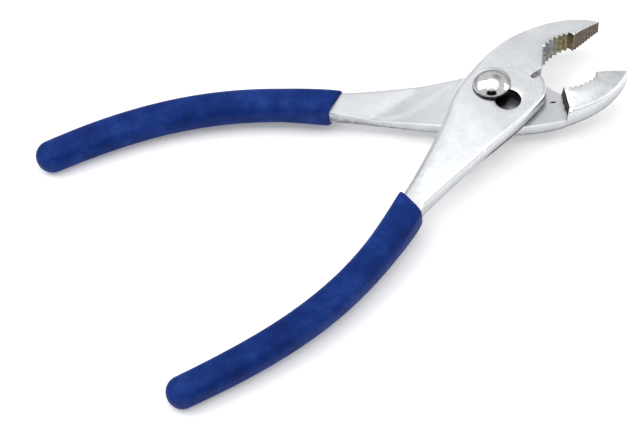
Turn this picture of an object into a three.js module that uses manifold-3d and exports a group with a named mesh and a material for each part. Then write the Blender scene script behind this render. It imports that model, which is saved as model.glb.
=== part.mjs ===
// Two-position slip-joint pliers with dipped vinyl grips, in millimetres, +Z up.
//
// The origin is on the pivot axis at the bolt's lower end face. +X runs towards the jaws and +Y
// towards the side of the slotted half's jaw. The pliers lie flat with their handles wide open.
//
// Each half is drawn in its own jaw frame: X along its gripping face, which lies on Y = 0 and points
// at the pivot, and Y towards the back of its jaw. The jaw frame of the plain half is mirrored,
// because that half lies the other way up. Both are then turned to the open position.
import * as THREE from "three";
import { mergeVertices } from "three/addons/utils/BufferGeometryUtils.js";
import Module from "manifold-3d";

// Heights, from the bolt's lower end upwards.
const LAP_THICKNESS = 5.15;
const LAP_GAP = 0.1;
const PLAIN_LAP_BOTTOM = 3.85;
const PLAIN_LAP_TOP = PLAIN_LAP_BOTTOM + LAP_THICKNESS;
const SLOTTED_LAP_BOTTOM = PLAIN_LAP_TOP + LAP_GAP;
const SLOTTED_LAP_TOP = SLOTTED_LAP_BOTTOM + LAP_THICKNESS;
const MIDDLE = (PLAIN_LAP_TOP + SLOTTED_LAP_BOTTOM) / 2;
const JOINT_HALF = SLOTTED_LAP_TOP - MIDDLE;
const TIP_HALF = 3.75;
const TANG_HALF = 3.2;
const CLEAR_OF_PART = 40;

// Angles of the two gripping faces from +X, with the handles open.
const SLOTTED_ANGLE = THREE.MathUtils.degToRad(8);
const PLAIN_ANGLE = THREE.MathUtils.degToRad(-20.6);

// The pivot: a bolt with two flats, in a slot of two holes joined by a narrower waist.
const SLOT_HOLE_RADIUS = 4.3;
const SLIP_STEP = 8.2;
const SLIP_ANGLE = THREE.MathUtils.degToRad(-80);
const SLOT_WAIST = 4.85;
const FLATS_ACROSS = 4.6;
const SHANK_RADIUS = 4.1;
const ROUND_SHANK_RADIUS = 4.0;
const PIVOT_HOLE_RADIUS = 4.08;
const THREAD_RADIUS = 2.9;
const THREAD_TOP = 3.75;
const HEAD_RADIUS = 6.4;
const HEAD_BOTTOM = SLOTTED_LAP_TOP + 0.1;
const HEAD_RIM = 1.3;
const HEAD_DOME = 2.8;
const NUT_BOTTOM = 0.3;
const NUT_TOP = 3.65;
const NUT_ACROSS_FLATS = 10;
const NUT_BORE_RADIUS = 3.0;

// Wire cutter: a notch in each lap's edge. The two notches line up when the handles are open.
const NOTCH_WIDTH = 2.0;
const NOTCH_END = new THREE.Vector2(14.0, -3.8);
const NOTCH_ANGLE = THREE.MathUtils.degToRad(8);
const NOTCH_REACH = 9;

// Jaws and the lap's limits, in the jaw frame.
const NOSE_TEETH = 9;
const NOSE_TOOTH_DEPTH = 0.45;
const PIPE_TEETH = 7;
const PIPE_TOOTH_DEPTH = 0.9;
const SHOULDER_X = 22.8;
const SHOULDER_BEND = new THREE.Vector2(23.2, 13.2);
const SHOULDER_END = new THREE.Vector2(21.0, 18.4);
const RECESS_CLEARANCE = 0.4;

// Where the thickness changes, along the jaw frame's X.
const JOINT_FRONT = 20;
const JOINT_REAR = -12;
const NECK_REAR = -47;
const RAMP_FRONT = -22;
const RAMP_REAR = -49;
const RAMP_FOOT = 0.1;

// Handles.
const TANG_HALF_WIDTH_ROOT = 4.2;
const TANG_HALF_WIDTH_END = 3.4;
const TANG_STOP = 0.955;
const GRIP_THICKNESS = 9.4;
const GRIP_ROUNDING = 3.6;
const GRIP_GAP = 0.15;
const MOUTH_FLARE = 0.45;

const steel = () =>
  new THREE.MeshStandardMaterial({ color: 0xc9ccd3, roughness: 0.26, metalness: 1.0 });
const vinyl = () =>
  new THREE.MeshStandardMaterial({ color: 0x233a74, roughness: 0.5, metalness: 0.0 });

const at = (x, y) => new THREE.Vector2(x, y);

// Edges of the slotted half in its jaw frame. A curve is start, two control points, end. The neck's
// two edges lack the end where they meet the steel inside the grip.
const SLOTTED = {
  angle: SLOTTED_ANGLE,
  mirror: 1,
  tip: 47.5,
  noseStart: 36.1,
  pipeStart: at(23.3, 1.2),
  pipeEnd: at(36.1, 1.0),
  pipeRise: 1.3,
  jawBack: [at(47.5, 1.0), at(44.8, 5.4), at(34.6, 13.3), at(18.1, 12.9)],
  shoulderBack: [at(18.1, 12.9), at(2.1, 12.3), at(-10.2, 8.1), at(-16.4, 2.8)],
  neckBack: [at(-16.4, 2.8), at(-25.3, -4.0), at(-39.1, -10.5)],
  neckFront: [at(-22.8, -19.7), at(-4.8, -19.5), at(10.4, -14.9)],
  lapFront: [at(10.4, -14.9), at(13.4, -13.2), at(15.6, -9.8), at(15.4, -6.6)],
  throat: [at(15.4, -6.6), at(17.3, -4.8), at(21.0, -1.4), at(23.3, 1.2)],
  handle: [at(-49.1, -19.9), at(-84.6, -37.4), at(-110.9, -37.0), at(-150.2, -30.4)],
  gripSkew: THREE.MathUtils.degToRad(24),
  gripHalfWidth: 5.4,
};

// Edges of the plain half in its mirrored jaw frame.
const PLAIN = {
  angle: PLAIN_ANGLE,
  mirror: -1,
  tip: 46.2,
  noseStart: 35.4,
  pipeStart: at(23.6, 5.0),
  pipeEnd: at(35.4, 1.4),
  pipeRise: 1.3,
  jawBack: [at(46.2, 1.0), at(44.2, 5.3), at(35.1, 15.4), at(18.1, 15.9)],
  shoulderBack: [at(18.1, 15.9), at(13.1, 16.1), at(9.1, 16.0), at(4.1, 15.2)],
  neckBack: [at(4.1, 15.2), at(-10.0, 13.4), at(-34.0, 5.8)],
  neckFront: [at(-41.0, -6.9), at(-27.0, -7.7), at(-11.1, -8.8)],
  lapFront: [at(-11.1, -8.8), at(-3.0, -9.4), at(13.5, -15.0), at(16.8, -4.1)],
  throat: [at(16.8, -4.1), at(18.0, 0.0), at(21.5, 2.4), at(23.6, 5.0)],
  handle: [at(-52.4, -3.8), at(-91.8, -16.2), at(-120.1, -11.7), at(-154.7, 0.9)],
  gripSkew: THREE.MathUtils.degToRad(-18),
  gripHalfWidth: 5.7,
};

const wasm = await Module();
wasm.setup();

// A closed three.js geometry as a solid that can be cut and joined.
function solidOf(geometry) {
  const bare = geometry.index ? geometry.toNonIndexed() : geometry.clone();
  bare.deleteAttribute("normal");
  bare.deleteAttribute("uv");
  const merged = mergeVertices(bare, 1e-4);
  return new wasm.Manifold(
    new wasm.Mesh({
      numProp: 3,
      vertProperties: merged.attributes.position.array,
      triVerts: new Uint32Array(merged.index.array),
    }),
  );
}

// A solid as a named mesh.
function meshOf(solid, name, material) {
  const result = solid.getMesh();
  const geometry = new THREE.BufferGeometry();
  geometry.setAttribute("position", new THREE.BufferAttribute(result.vertProperties, 3));
  geometry.setIndex(new THREE.BufferAttribute(result.triVerts, 1));
  geometry.computeVertexNormals();
  const mesh = new THREE.Mesh(geometry, material);
  mesh.name = name;
  return mesh;
}

// An upright prism over an outline, from one height to another.
function prism(outline, bottom, top) {
  const geometry = new THREE.ExtrudeGeometry(new THREE.Shape(outline), {
    depth: top - bottom,
    bevelEnabled: false,
  });
  geometry.translate(0, 0, bottom);
  return solidOf(geometry);
}

// An upright cylinder.
function rod(radius, bottom, top, sides = 64) {
  const geometry = new THREE.CylinderGeometry(radius, radius, top - bottom, sides);
  geometry.rotateX(Math.PI / 2);
  geometry.translate(0, 0, (bottom + top) / 2);
  return solidOf(geometry);
}

const curveOf = (points) => new THREE.CubicBezierCurve(...points);

// A point of a jaw frame, in the part's frame.
function placed(point, half) {
  return at(point.x, half.mirror * point.y).rotateAround(at(0, 0), half.angle);
}

// The point beside a curve, on its right hand seen along it.
function beside(curve, t, distance) {
  const along = curve.getTangentAt(t);
  return curve.getPointAt(t).add(at(along.y, -along.x).multiplyScalar(distance));
}

// Teeth along a curve: tips on the curve and roots on its left, inside the jaw.
function teeth(curve, count, depth) {
  const points = [];
  for (let i = 0; i < count; i++) {
    points.push(curve.getPointAt(i / count));
    points.push(beside(curve, (i + 0.5) / count, -depth));
  }
  points.push(curve.getPointAt(1));
  return points;
}

// Where an edge of the neck meets the steel inside the grip, at its back or its front.
function tangRoot(half, side) {
  return beside(curveOf(half.handle), 0, side * TANG_HALF_WIDTH_ROOT);
}

const neckBackCurve = (half) => curveOf([...half.neckBack, tangRoot(half, 1)]);
const neckFrontCurve = (half) => curveOf([tangRoot(half, -1), ...half.neckFront]);

// One side of the steel inside the grip, from the neck to its end.
function tangSide(half, side) {
  const curve = curveOf(half.handle);
  const steps = 16;
  const points = [];
  for (let i = 1; i <= steps; i++) {
    const share = i / steps;
    const width = THREE.MathUtils.lerp(TANG_HALF_WIDTH_ROOT, TANG_HALF_WIDTH_END, share);
    points.push(beside(curve, share * TANG_STOP, side * width));
  }
  return points;
}

// The whole outline of one half, in its jaw frame.
function halfOutline(half) {
  const nose = new THREE.LineCurve(at(half.noseStart, 0), at(half.tip, 0));
  const middle = half.pipeStart.clone().lerp(half.pipeEnd, 0.5).add(at(0, 2 * half.pipeRise));
  const pipe = new THREE.QuadraticBezierCurve(half.pipeStart, middle, half.pipeEnd);
  return [
    ...teeth(nose, NOSE_TEETH, NOSE_TOOTH_DEPTH),
    ...curveOf(half.jawBack).getPoints(14),
    ...curveOf(half.shoulderBack).getPoints(10).slice(1),
    ...neckBackCurve(half).getPoints(10).slice(1),
    ...tangSide(half, 1),
    ...tangSide(half, -1).reverse(),
    ...neckFrontCurve(half).getPoints(10),
    ...curveOf(half.lapFront).getPoints(10).slice(1),
    ...curveOf(half.throat).getPoints(4).slice(1, -1),
    ...teeth(pipe, PIPE_TEETH, PIPE_TOOTH_DEPTH),
  ];
}

// The area of a half that is cut down to its lap face, in that half's jaw frame. It ends at the
// jaw's shoulder and, on the neck, where the other half's back edge comes to when the jaws are shut
// in the wide position. The slip is how far the other half has then shifted.
function recessOutline(other, slip) {
  const beyond = 60;
  const shift = slip.clone().add(at(-RECESS_CLEARANCE / 2, -RECESS_CLEARANCE));
  const neckLimit = neckBackCurve(other)
    .getPoints(10)
    .reverse()
    .map((p) => at(p.x, -p.y).add(shift));
  const limitStart = neckLimit[0];
  const limitEnd = neckLimit[neckLimit.length - 1];
  return [
    at(SHOULDER_X, -beyond),
    at(SHOULDER_X, 0),
    SHOULDER_BEND,
    SHOULDER_END,
    at(SHOULDER_END.x, beyond),
    at(limitStart.x - beyond, beyond),
    at(limitStart.x - beyond, limitStart.y + beyond / 3),
    ...neckLimit,
    at(limitEnd.x + beyond / 5, -beyond),
  ];
}

// Thickness seen from the side: thin at the tip, full at the joint, thin again at the handle. Behind
// the joint the inner face, which is the lap's side, stays level with the lap and then ramps out to
// the handle. The plain half lies the other way up, with its inner face on top.
function sideProfile(half) {
  const beyond = 170;
  const front = [
    [half.tip + 1, TIP_HALF],
    [JOINT_FRONT, JOINT_HALF],
  ];
  const outer = [
    ...front,
    [JOINT_REAR, JOINT_HALF],
    [NECK_REAR, TANG_HALF],
    [-beyond, TANG_HALF],
  ];
  const inner = [
    ...front,
    [JOINT_FRONT - 1, RAMP_FOOT],
    [RAMP_FRONT, RAMP_FOOT],
    [RAMP_REAR, TANG_HALF],
    [-beyond, TANG_HALF],
  ];
  const [above, below] = half.mirror > 0 ? [outer, inner] : [inner, outer];
  const upper = above.map(([x, height]) => at(x, MIDDLE + height));
  const lower = below.map(([x, height]) => at(x, MIDDLE - height)).reverse();
  const geometry = new THREE.ExtrudeGeometry(new THREE.Shape([...upper, ...lower]), {
    depth: 4 * CLEAR_OF_PART,
    bevelEnabled: false,
  });
  geometry.rotateX(Math.PI / 2);
  geometry.translate(0, 2 * CLEAR_OF_PART, 0);
  geometry.rotateZ(half.angle);
  return solidOf(geometry);
}

// The notch of the wire cutter, a rounded slot that opens at the lap's edge.
function cutterNotch() {
  const along = at(Math.cos(NOTCH_ANGLE), Math.sin(NOTCH_ANGLE));
  const across = at(-along.y, along.x).multiplyScalar(NOTCH_WIDTH / 2);
  const mouth = NOTCH_END.clone().addScaledVector(along, NOTCH_REACH);
  const outline = [
    NOTCH_END.clone().sub(across),
    mouth.clone().sub(across),
    mouth.clone().add(across),
    NOTCH_END.clone().add(across),
  ];
  const roundEnd = rod(NOTCH_WIDTH / 2, 0, CLEAR_OF_PART, 24);
  return prism(outline, 0, CLEAR_OF_PART).add(roundEnd.translate([NOTCH_END.x, NOTCH_END.y, 0]));
}

// A half without its holes: its outline, thinned from the side and cut down to the lap face. The
// cutter notch reaches only through the lap, so the raised jaw behind it is left whole.
function forging(half, other, slip, cutBottom, cutTop) {
  const outline = halfOutline(half).map((p) => placed(p, half));
  const lap = recessOutline(other, slip).map((p) => placed(p, half));
  return prism(outline, 0, CLEAR_OF_PART)
    .intersect(sideProfile(half))
    .subtract(prism(lap, cutBottom, cutTop))
    .subtract(cutterNotch().intersect(prism(lap, 0, CLEAR_OF_PART)));
}

// How far the other half shifts in the wide position, in each half's jaw frame.
const slipInSlotted = at(SLIP_STEP, 0).rotateAround(at(0, 0), SLIP_ANGLE - SLOTTED_ANGLE);
const slipInPlain = at(-slipInSlotted.x, slipInSlotted.y);

// The slot: the bolt's hole, a second hole one slip step away, and the waist between them.
function keyholeSlot() {
  const hole = rod(SLOT_HOLE_RADIUS, 0, CLEAR_OF_PART);
  const secondHole = rod(SLOT_HOLE_RADIUS, 0, CLEAR_OF_PART).translate([SLIP_STEP, 0, 0]);
  const waist = prism(
    [
      at(0, -SLOT_WAIST / 2),
      at(SLIP_STEP, -SLOT_WAIST / 2),
      at(SLIP_STEP, SLOT_WAIST / 2),
      at(0, SLOT_WAIST / 2),
    ],
    0,
    CLEAR_OF_PART,
  );
  const degrees = THREE.MathUtils.radToDeg(SLIP_ANGLE);
  return hole.add(secondHole).add(waist).rotate([0, 0, degrees]);
}

function slottedHalf() {
  return forging(SLOTTED, PLAIN, slipInSlotted, 0, SLOTTED_LAP_BOTTOM).subtract(keyholeSlot());
}

function plainHalf() {
  const hole = rod(PIVOT_HOLE_RADIUS, 0, CLEAR_OF_PART);
  return forging(PLAIN, SLOTTED, slipInPlain, PLAIN_LAP_TOP, CLEAR_OF_PART).subtract(hole);
}

// The bolt is turned about its axis, and then two flats are cut that fit the slot's waist.
function pivotBolt() {
  const domeRadius = (HEAD_RADIUS ** 2 + HEAD_DOME ** 2) / (2 * HEAD_DOME);
  const domeTop = HEAD_BOTTOM + HEAD_RIM + HEAD_DOME;
  const domeAngle = Math.asin(HEAD_RADIUS / domeRadius);
  const profile = [
    at(0, 0),
    at(THREAD_RADIUS, 0),
    at(THREAD_RADIUS, THREAD_TOP),
    at(ROUND_SHANK_RADIUS, THREAD_TOP),
    at(ROUND_SHANK_RADIUS, PLAIN_LAP_TOP),
    at(SHANK_RADIUS, PLAIN_LAP_TOP),
    at(SHANK_RADIUS, HEAD_BOTTOM),
    at(HEAD_RADIUS, HEAD_BOTTOM),
  ];
  const domeSteps = 8;
  for (let i = 0; i <= domeSteps; i++) {
    const angle = domeAngle * (1 - i / domeSteps);
    const height = domeTop - domeRadius * (1 - Math.cos(angle));
    profile.push(at(domeRadius * Math.sin(angle), height));
  }
  const turned = new THREE.LatheGeometry(profile, 64);
  turned.rotateX(Math.PI / 2);
  const flatGeometry = new THREE.BoxGeometry(
    4 * SHANK_RADIUS,
    2 * SHANK_RADIUS,
    HEAD_BOTTOM - PLAIN_LAP_TOP,
  );
  flatGeometry.translate(0, FLATS_ACROSS / 2 + SHANK_RADIUS, (HEAD_BOTTOM + PLAIN_LAP_TOP) / 2);
  flatGeometry.rotateZ(SLIP_ANGLE);
  const firstFlat = solidOf(flatGeometry);
  flatGeometry.rotateZ(Math.PI);
  const secondFlat = solidOf(flatGeometry);
  return solidOf(turned).subtract(firstFlat).subtract(secondFlat);
}

function pivotNut() {
  const cornerRadius = NUT_ACROSS_FLATS / 2 / Math.cos(Math.PI / 6);
  const bore = rod(NUT_BORE_RADIUS, NUT_BOTTOM - 1, NUT_TOP + 1, 48);
  return rod(cornerRadius, NUT_BOTTOM, NUT_TOP, 6).subtract(bore);
}

// A dipped sleeve: a strip along the handle's curve with all its edges rounded and a round end, and
// the handle's steel taken out of it with a small gap.
function grip(half) {
  const curve = curveOf(half.handle);
  const length = curve.getLength();
  const stop = 1 - half.gripHalfWidth / length;
  const inset = half.gripHalfWidth - GRIP_ROUNDING;
  const steps = 22;
  const left = [];
  const right = [];
  const start = GRIP_ROUNDING / length;
  const skew = (inset * Math.tan(half.gripSkew)) / length;
  for (let i = 0; i <= steps; i++) {
    const share = i / steps;
    right.push(beside(curve, THREE.MathUtils.lerp(start - skew, stop, share), inset));
    left.push(beside(curve, THREE.MathUtils.lerp(start + skew, stop, share), -inset));
  }
  const centre = curve.getPointAt(stop);
  const cap = [];
  const capSteps = 8;
  for (let i = 1; i < capSteps; i++) {
    cap.push(right[steps].clone().rotateAround(centre, (Math.PI * i) / capSteps));
  }
  const outline = [...right, ...cap, ...left.reverse()].map((p) => placed(p, half));
  const flatSide = GRIP_THICKNESS - 2 * GRIP_ROUNDING;
  const geometry = new THREE.ExtrudeGeometry(new THREE.Shape(outline), {
    depth: flatSide,
    bevelThickness: GRIP_ROUNDING,
    bevelSize: GRIP_ROUNDING,
    bevelSegments: 4,
  });
  geometry.translate(0, 0, MIDDLE - flatSide / 2);
  return solidOf(geometry).subtract(gripBore(half));
}

// The space that the handle's steel fills inside the sleeve.
function gripBore(half) {
  const curve = curveOf(half.handle);
  const steps = 20;
  const right = [];
  const left = [];
  for (let i = 0; i <= steps; i++) {
    const share = i / steps;
    const width =
      THREE.MathUtils.lerp(TANG_HALF_WIDTH_ROOT, TANG_HALF_WIDTH_END, share) + GRIP_GAP;
    const t = share * (TANG_STOP + GRIP_GAP / curve.getLength());
    right.push(beside(curve, t, width));
    left.push(beside(curve, t, -width));
  }
  const out = curve.getTangentAt(0).multiplyScalar(-2);
  const flare = right[0].clone().sub(left[0]).setLength(MOUTH_FLARE);
  right.unshift(right[0].clone().add(out).add(flare));
  left.unshift(left[0].clone().add(out).sub(flare));
  const outline = [...right, ...left.reverse()].map((p) => placed(p, half));
  const halfHeight = TANG_HALF + GRIP_GAP;
  return prism(outline, MIDDLE - halfHeight, MIDDLE + halfHeight);
}

const pliers = new THREE.Group();
pliers.add(meshOf(slottedHalf(), "slotted_half", steel()));
pliers.add(meshOf(plainHalf(), "plain_half", steel()));
pliers.add(meshOf(pivotBolt(), "pivot_bolt", steel()));
pliers.add(meshOf(pivotNut(), "pivot_nut", steel()));
pliers.add(meshOf(grip(SLOTTED), "grip_slotted_half", vinyl()));
pliers.add(meshOf(grip(PLAIN), "grip_plain_half", vinyl()));

export default pliers;
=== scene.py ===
"""Looks of the two-position slip-joint pliers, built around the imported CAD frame.

Lengths are in millimetres until a mesh is made, and metres after that. Each half is drawn in its
own jaw frame: X along the gripping face, which points at the pivot, and Y towards the jaw's back.
The plain half's jaw frame is mirrored. "Outer" is the side of a half that faces away from the joint
and "inner" the side that holds the lap face. Colours and shader sizes are in the shaders' own units.
"""

import math

import bmesh
import bpy
import numpy as np
from mathutils import Matrix, Vector
from mathutils.geometry import delaunay_2d_cdt


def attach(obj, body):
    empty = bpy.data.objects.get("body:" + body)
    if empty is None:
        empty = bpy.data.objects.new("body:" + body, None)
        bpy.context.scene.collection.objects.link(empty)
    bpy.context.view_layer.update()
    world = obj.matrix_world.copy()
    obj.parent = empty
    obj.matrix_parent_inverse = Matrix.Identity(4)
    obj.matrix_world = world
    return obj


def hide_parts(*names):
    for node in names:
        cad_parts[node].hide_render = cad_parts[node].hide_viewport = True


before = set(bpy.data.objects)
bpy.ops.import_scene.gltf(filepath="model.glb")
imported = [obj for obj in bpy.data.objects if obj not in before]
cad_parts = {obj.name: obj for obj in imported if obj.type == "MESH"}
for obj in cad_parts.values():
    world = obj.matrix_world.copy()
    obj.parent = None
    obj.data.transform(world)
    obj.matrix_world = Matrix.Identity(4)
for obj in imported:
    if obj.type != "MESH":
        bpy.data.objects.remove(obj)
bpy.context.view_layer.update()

MM = 0.001

# Height of the joint's middle plane, and half thicknesses about it.
MIDDLE = 9.05
TANG_HALF = 3.2
LAP_GAP_HALF = 0.05

# The joint.
SLIP_STEP = 8.2
SLIP_ANGLE = math.radians(-80)
SLOT_HOLE_RADIUS = 4.3
SLOT_WAIST = 4.85
PIVOT_HOLE_RADIUS = 4.08

# The bolt, from its lower end up: thread, round shank, narrow part in the slot, and head. A
# chamfer is how much narrower, and how high.
THREAD_RADIUS, THREAD_TOP, THREAD_CHAMFER = 2.9, 3.75, (0.6, 0.45)
SHANK_RADIUS, SHANK_TOP, SHANK_CHAMFER = 4.0, 9.0, 0.2
SLOT_PART_RADIUS = 2.25
HEAD_RADIUS, HEAD_CHAMFER = 6.4, (0.25, 0.2)
HEAD_BOTTOM = 14.35
HEAD_RIM = 1.3
HEAD_DOME = 2.8

# The nut. Its corners are turned off outside a radius, down a slope.
NUT_BOTTOM, NUT_TOP, NUT_BORE, NUT_LIP = 0.3, 3.65, 3.0, 0.25
NUT_HALF_FLATS, NUT_FACE_RADIUS, NUT_TURNED_RADIUS = 5.0, 4.8, 4.95
NUT_SLOPE, NUT_SLOPE_START = math.tan(math.radians(30)), 0.06

# The wire cutter's notch.
NOTCH_HALF_WIDTH = 1.0
NOTCH_END = (14.0, -3.8)
NOTCH_ANGLE = math.radians(8)
NOTCH_REACH = 9

# The shoulder behind the jaw, where the lap ends: a steep wall, then a bevel up to the jaw's face.
SHOULDER = [(22.8, -60), (22.8, 0), (23.2, 13.2), (21.0, 18.4), (21.0, 60)]
SHOULDER_WALL = 0.45
SHOULDER_BEVEL = 1.3
SHOULDER_STEPS = (0, SHOULDER_WALL, SHOULDER_WALL + SHOULDER_BEVEL)
SHOULDER_WALL_SHARE = 0.91
# A triangle of the inner face belongs to the wall where its middle is this far inside it.
WALL_MARGIN = 0.02

# The recess on the neck for the other half, and how steeply the neck's face rises beyond it.
RECESS_CLEARANCE = 0.4
RECESS_STEPS = (0, 1.2)
NECK_RISE = 0.26

# A faint crease across the plain half's neck, where its lap face was ground. The ground side fades
# out away from it, and the crease fades out at both of its ends.
CREASE = [(-42, 1.2), (-34, 7.5), (-27, 2.5), (-12, -7.6)]
CREASE_DEPTH, CREASE_HALF_WIDTH = 0.12, 0.45
CREASE_STEPS = (-CREASE_HALF_WIDTH, CREASE_HALF_WIDTH)
CREASE_FADE, CREASE_START, CREASE_STOP = (1, 9), (-44, -41), (-14, -10)

# Rounding of the forgings' edges. The back's edge is tighter and bevelled on the neck, and fades
# into the jaw's.
SOFT_EDGE = 1.0
BACK_EDGE = 0.5
NECK_EDGE = 0.4
HOLE_EDGE = 0.3
CRISP_EDGE = 0.22
BACK_BEVEL_WIDTH = 2.1
BACK_FADE = (-4, 14)
HOLE_CHAMFER_WIDTH = 1.3

# The jaws' faces fall towards their backs: where that starts along the jaw, and how wide it is.
CROWN_START, CROWN_WIDTH = (15, 27), 8

# Teeth: how many, and how deep. The flats at their tips and roots are a share of the pitch.
NOSE_TEETH, PIPE_TEETH = (9, 0.32), (7, 0.9)
TOOTH_FLAT = 0.07

# Spacing of points along outlines, along the lines between heights, and over the faces.
OUTLINE_STEP, THROAT_STEP, NECK_LIMIT_STEP, LINE_STEP, GRID_STEP = 0.55, 0.4, 1.5, 0.8, 1.5
# Rings of points inside the outline and round the hole, and the room that the grid leaves them.
EDGE_RINGS, CLOSE_RINGS, HOLE_RINGS = (0.5, 0.8, 1.1, 1.7), (0.06, CRISP_EDGE), (0.08, 0.3, 0.7, 1.3)
GRID_FROM_EDGE, GRID_FROM_HOLE, GRID_FROM_BAND, RINGS_FROM_BAND = 2.2, 1.7, 0.5, 0.12
# A ring loses a point where another stretch is closer than this share of the ring's distance.
EDGE_RING_SHARE, HOLE_RING_SHARE = 0.93, 0.9
# Closer than this, a point counts as lying on a line.
ON_LINE = 0.03

# Material slots of the forgings and of the bolt, and the walls that are not plated steel.
# The last forging slot, and the bolt's second, are near-black painted shade.
STEEL_SLOT, TOOTH_SLOT, PAINTED_SHADE_SLOT = 0, 1, 2
BOLT_PAINTED_SHADE_SLOT = 1
WALL_SLOTS = {"tooth": TOOTH_SLOT, "notch": TOOTH_SLOT}

# The two halves. The lists of places are control points of curves in the jaw frame. A grip's mouth
# is a distance along the handle, and grip_width gives half widths by the share of the grip's length.
HALVES = {
    "slotted": {
        "angle": math.radians(8),
        "mirror": 1,
        "tip": 47.5,
        "nose_start": 36.1,
        "pipe": [(23.3, 1.2), (29.7, 3.7), (36.1, 1.0)],
        "jaw_back": [(47.5, 1.0), (44.8, 5.4), (34.6, 13.3), (18.1, 12.9)],
        "shoulder_back": [(18.1, 12.9), (2.1, 12.3), (-10.2, 8.1), (-16.4, 2.8)],
        "neck_back": [(-16.4, 2.8), (-25.3, -4.0), (-39.1, -10.5)],
        "neck_front": [(-22.8, -19.7), (-4.8, -19.5), (10.4, -14.9)],
        "lap_front": [(10.4, -14.9), (13.4, -13.2), (15.6, -9.8), (15.4, -6.6)],
        "throat": [(15.4, -6.6), (17.3, -4.8), (21.0, -1.4), (23.3, 1.2)],
        "handle": [(-49.1, -19.9), (-84.6, -37.4), (-110.9, -37.0), (-150.2, -30.4)],
        "skew": math.radians(24),
        "mouth": 0.5,
        "grip_width": [(0, 5.4), (0.12, 5.4), (0.3, 5.1), (0.6, 5.15), (0.85, 5.1), (1, 4.85)],
        "crown": 0.9,
        "hole_chamfer": 0.15,
        "back_bevel": 1.35,
    },
    "plain": {
        "angle": math.radians(-20.6),
        "mirror": -1,
        "tip": 46.2,
        "nose_start": 35.4,
        "pipe": [(23.6, 5.0), (29.5, 5.8), (35.4, 1.4)],
        "jaw_back": [(46.2, 1.0), (44.2, 5.3), (35.1, 15.4), (18.1, 15.9)],
        "shoulder_back": [(18.1, 15.9), (13.1, 16.1), (9.1, 16.0), (4.1, 15.2)],
        "neck_back": [(4.1, 15.2), (-10.0, 13.4), (-34.0, 5.8)],
        "neck_front": [(-41.0, -6.9), (-27.0, -7.7), (-11.1, -8.8)],
        "lap_front": [(-11.1, -8.8), (-3.0, -9.4), (13.5, -15.0), (16.8, -4.1)],
        "throat": [(16.8, -4.1), (18.0, 0.0), (21.5, 2.4), (23.6, 5.0)],
        "handle": [(-52.4, -3.8), (-91.8, -16.2), (-120.1, -11.7), (-154.7, 0.9)],
        "skew": math.radians(-18),
        "mouth": 0.2,
        "grip_width": [(0, 5.5), (0.3, 5.5), (0.6, 5.6), (0.85, 5.7), (1, 5.45)],
        "crown": 1.0,
        "hole_chamfer": 0.0,
        "back_bevel": 0.3,
    },
}
# Half thickness of a forging along its jaw frame, on the outer and on the inner side.
OUTER_PROFILE = [(-200, 3.2), (-47, 3.2), (-12, 5.2), (20, 5.2), (47.5, 3.75), (60, 3.2)]
INNER_PROFILE = [(-200, 3.2), (-49, 3.2), (-22, 0.1), (19, 0.1), (21, 5.2), (47.5, 3.75), (60, 3.2)]
PROFILE_BLEND = 3

# The tang inside a grip: half width at its root and end, and its length as a share of the handle.
TANG_ROOT, TANG_END, TANG_STOP = 4.2, 3.4, 0.955

# The grips. Their section is squarer at the mouth, which swells back from a narrower lip, than
# further along. The bore fits the tang and is closed at a depth.
GRIP_HALF_HEIGHT, GRIP_END_THINNING, GRIP_THINNING_START = 4.7, 0.08, 0.3
GRIP_WIDTH_BLEND = 0.06
MOUTH_SQUARENESS, GRIP_SQUARENESS, GRIP_FADE = 4.4, 2.9, 18
MOUTH_SWELL, MOUTH_SWELL_LENGTH = 0.03, 3
BORE_DEPTH, BORE_CLEARANCE, BORE_FLARE = 9.0, 0.12, 0.12
# Rings over the lip: how far past the mouth, and how much narrower and lower than the grip.
LIP_RINGS = [(0, 0.75, 0.95), (0.06, 0.42, 0.55), (0.35, 0.20, 0.25)]

# Marks where 1 is black. Oil covers the lap round the pivot and thins with the distance, less on
# the jaw's side; that darkening is also painted shade for the lap under the slotted half. The
# plain half's neck is painted darker, as shade, from the grip to the lap.
OIL_AND_SHADE_FULL, OIL_AND_SHADE_FADED, OIL_AND_SHADE_END = 6.0, 8.6, 14.0
OIL_AND_SHADE_ON_JAW_SIDE, OIL_AND_SHADE_ON_NECK_SIDE = 0.62, (0.5, 0.35)
JAW_SIDE_START, NECK_END = 8, -14
NECK_STATIONS, NECK_PAINTED_SHADE = (-45, -30, NECK_END), (0.81, 0.65, 0.33)
# Painted shade in the corner at the foot of the shoulder, this wide.
CORNER_SHADE_WIDTH = 0.3
# Painted shade on the rims, which the side walls share: on the upper ones, on the plain half's lower
# one, and on the slotted half's lower one, off the lap and on it, where it stands for the gap's
# shade.
WALL_SHADE, PLAIN_LOWER_SHADE, SLOTTED_LOWER_SHADE = 0.45, 0.9, (0.75, 1.0)
LAP_START, LAP_END = (-24, -16), 24
# A small dark spot in the plain half's lap face.
DARK_SPOT, DARK_SPOT_SIZE = (19.5, 7.1), (0.8, 0.28)
# The teeth's colours run along this stretch of the jaw.
TEETH_START, TEETH_LENGTH = 23, 24

# The floor, in metres: its reach, and how far it lies under what it touches. Only what lies behind
# the joint, past this X, tips it.
FLOOR_REACH, FLOOR_DROP, BEHIND_JOINT = 3.0, 0.0001, -0.03
# The floor's glow: painted light that lifts the shadows on it and lights the pieces a little from
# below.
FLOOR_GLOW = 0.15

# Brightness of the surroundings by height, and two sides that are darker: by the cosine of the angle
# to the side, how much light is left.
HORIZON = [(0.0, 0.48), (0.14, 0.56), (0.42, 1.0)]
CAMERA_SIDE, CAMERA_SHADE = (-0.36, -0.56, 0.74), [(0.90, 1.0), (0.945, 0.01)]
DIM_SIDE, DIM_SHADE = (0.62, 0.40, 0.675), [(0.90, 1.0), (0.96, 0.84), (0.99, 0.55)]

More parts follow.
